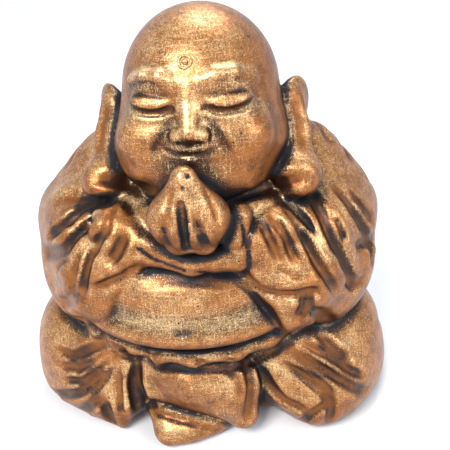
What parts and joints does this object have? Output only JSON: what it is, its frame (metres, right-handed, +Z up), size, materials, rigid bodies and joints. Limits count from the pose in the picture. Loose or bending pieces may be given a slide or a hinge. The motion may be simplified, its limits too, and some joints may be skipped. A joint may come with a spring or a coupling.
{
  "type": "seated laughing buddha statue",
  "caption": "Seated round-bellied buddha ornament with palms pressed together: a hollow painted casting with a bead on the brow, a closing board and felt pads.",
  "frame": {"origin": "middle of the figure's box, on the plane the felt pads stand on", "axes": "+Z up, the figure faces -Y, +X to the right as seen from the front"},
  "size_m": [0.2463, 0.1619, 0.2569],
  "materials": {
    "painted_casting": "bronze-gold paint dry-brushed over black",
    "painted_bead": "bronze-gold paint",
    "hardboard": "raw pressed fibre",
    "felt": "felt"
  },
  "bodies": {
    "root": {"figure_casting": "painted_casting", "urna_bead": "painted_bead", "base_board": "hardboard", "felt_pad_front_left": "felt", "felt_pad_front_right": "felt", "felt_pad_rear_left": "felt", "felt_pad_rear_right": "felt"}
  },
  "joints": []
}
